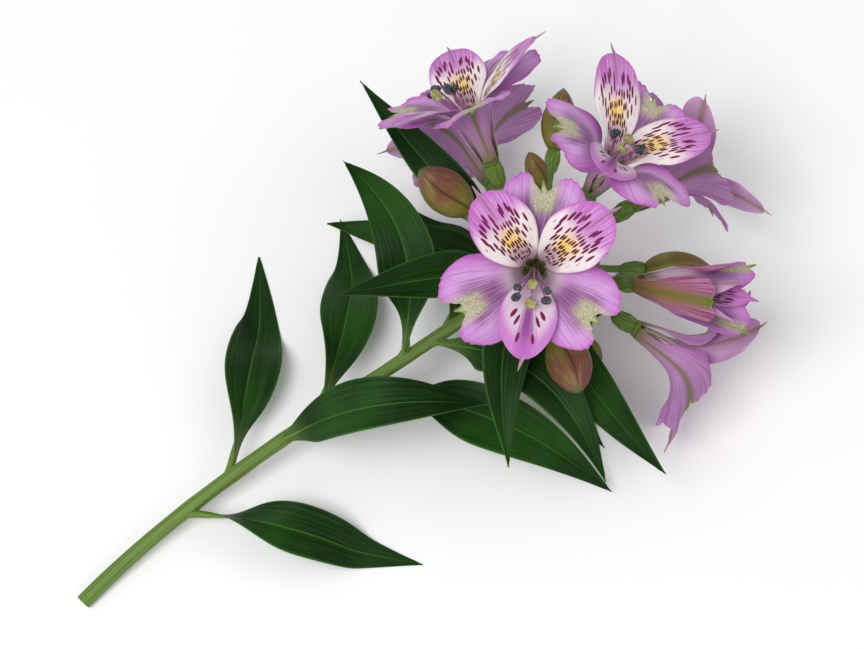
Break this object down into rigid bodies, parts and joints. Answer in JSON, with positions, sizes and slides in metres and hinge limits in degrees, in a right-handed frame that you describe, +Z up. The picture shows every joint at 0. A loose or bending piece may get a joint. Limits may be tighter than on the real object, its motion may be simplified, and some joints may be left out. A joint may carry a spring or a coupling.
{
  "type": "alstroemeria stem",
  "caption": "Cut stem of lilac alstroemeria lying down, with an umbel of open, half-open and closed blooms above a whorl of leaves.",
  "frame": {"origin": "middle of the object's length and width, on the surface that it lies on", "axes": "+X along the stem from its cut end to the umbel, +Z up"},
  "size_m": [0.267, 0.1688, 0.1198],
  "materials": {
    "stem_green": "smooth green stem with fine lengthwise ribs",
    "leaf_green": "glossy dark green with parallel veins",
    "outer_lilac": "soft lilac with darker veins and a pale green tip",
    "inner_pale_lilac": "pale lilac and yellow with dark maroon dashes",
    "stamen_grey": "powdery slate grey anthers on lilac filaments",
    "bud_olive": "smooth olive green with a maroon flush"
  },
  "bodies": {
    "root": {"stem": "stem_green", "bloom_a_outer": "outer_lilac", "bloom_a_inner": "inner_pale_lilac", "bloom_a_stamens": "stamen_grey", "bloom_b_outer": "outer_lilac", "bloom_b_inner": "inner_pale_lilac", "bloom_b_stamens": "stamen_grey", "bloom_c_outer": "outer_lilac", "bloom_c_inner": "inner_pale_lilac", "bloom_c_stamens": "stamen_grey", "bloom_d_outer": "outer_lilac", "bloom_d_inner": "inner_pale_lilac", "bloom_d_stamens": "stamen_grey", "bloom_e_outer": "outer_lilac", "bloom_e_inner": "inner_pale_lilac", "bloom_e_stamens": "stamen_grey", "bloom_f_outer": "outer_lilac", "bloom_f_inner": "inner_pale_lilac", "bloom_f_stamens": "stamen_grey", "bloom_half_outer": "outer_lilac", "bloom_half_inner": "inner_pale_lilac", "bud_1": "bud_olive", "bud_2": "bud_olive", "bud_3": "bud_olive", "bud_4": "bud_olive", "bud_5": "bud_olive", "bud_6": "bud_olive", "bud_7": "bud_olive", "bud_8": "bud_olive", "bract_5": "leaf_green", "bract_6": "leaf_green", "bract_7": "leaf_green", "bract_8": "leaf_green", "leaf_1": "leaf_green", "leaf_2": "leaf_green", "leaf_3": "leaf_green", "leaf_4": "leaf_green", "leaf_5": "leaf_green", "leaf_6": "leaf_green", "leaf_7": "leaf_green", "leaf_8": "leaf_green", "collar_1": "leaf_green", "collar_2": "leaf_green", "collar_3": "leaf_green", "collar_4": "leaf_green", "collar_5": "leaf_green", "collar_6": "leaf_green", "collar_7": "leaf_green", "collar_8": "leaf_green"}
  },
  "joints": []
}
